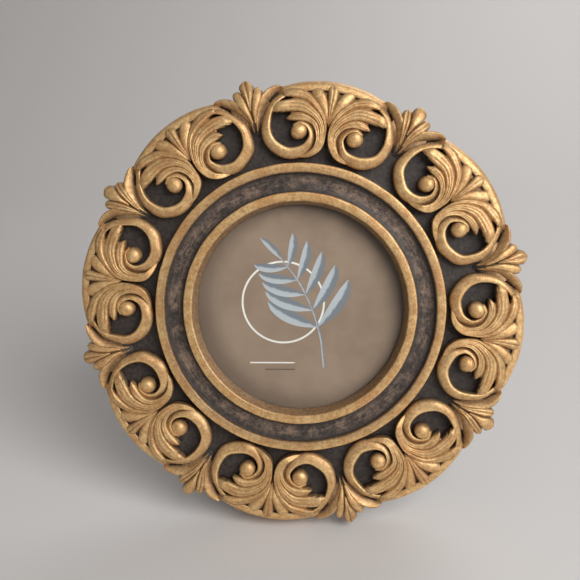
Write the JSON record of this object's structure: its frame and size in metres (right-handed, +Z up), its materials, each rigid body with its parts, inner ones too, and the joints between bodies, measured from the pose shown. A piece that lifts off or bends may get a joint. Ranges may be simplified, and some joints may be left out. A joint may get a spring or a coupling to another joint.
{
  "type": "tabletop photo frame",
  "caption": "Round tabletop photo frame with an antique-gold acanthus scroll relief, a round glazed window, turn-button back and a hinged easel leg",
  "frame": {"origin": "on the table, under the middle of the bounding box", "axes": "+Z up, front of the frame towards -Y, +X to the right seen from the front; the face leans back 15 degrees on its open leg"},
  "size_m": [0.1308, 0.056, 0.1282],
  "materials": {
    "antique_gold": "antique-gold paint rubbed over a dark brown ground on cast resin",
    "pane": "clear",
    "print": "printed card",
    "pad": "plain",
    "flocked_board": "hardboard with black flocked paper",
    "plated_steel": "nickel plate"
  },
  "bodies": {
    "frame": {"frame_casting": "antique_gold", "glass_pane": "pane", "photo_card": "print", "filler_pad": "pad", "back_board": "flocked_board", "hinge_leaf_fixed": "plated_steel", "hinge_pin": "plated_steel", "hinge_rivet_board": "plated_steel", "turn_button_screws": "plated_steel"},
    "easel_leg": {"easel_leg": "flocked_board", "hinge_leaf_moving": "plated_steel", "hinge_rivet_leg": "plated_steel"},
    "turn_button_1": {"turn_button_1": "plated_steel"},
    "turn_button_2": {"turn_button_2": "plated_steel"},
    "turn_button_3": {"turn_button_3": "plated_steel"},
    "turn_button_4": {"turn_button_4": "plated_steel"}
  },
  "joints": [
    {"name": "leg_hinge", "type": "hinge", "parent": "frame", "child": "easel_leg", "pos_m": [0, 0.00534, 0.08157], "axis": [1, 0, 0], "range_deg": [-30, 0]},
    {"name": "turn_button_1_pivot", "type": "hinge", "parent": "frame", "child": "turn_button_1", "pos_m": [0.0263, 0.00533, 0.0881], "axis": [0, -0.9659, 0.2588], "continuous": true},
    {"name": "turn_button_2_pivot", "type": "hinge", "parent": "frame", "child": "turn_button_2", "pos_m": [0.0263, -0.00829, 0.03728], "axis": [0, -0.9659, 0.2588], "continuous": true},
    {"name": "turn_button_3_pivot", "type": "hinge", "parent": "frame", "child": "turn_button_3", "pos_m": [-0.0263, -0.00829, 0.03728], "axis": [0, -0.9659, 0.2588], "continuous": true},
    {"name": "turn_button_4_pivot", "type": "hinge", "parent": "frame", "child": "turn_button_4", "pos_m": [-0.0263, 0.00533, 0.0881], "axis": [0, -0.9659, 0.2588], "continuous": true}
  ]
}
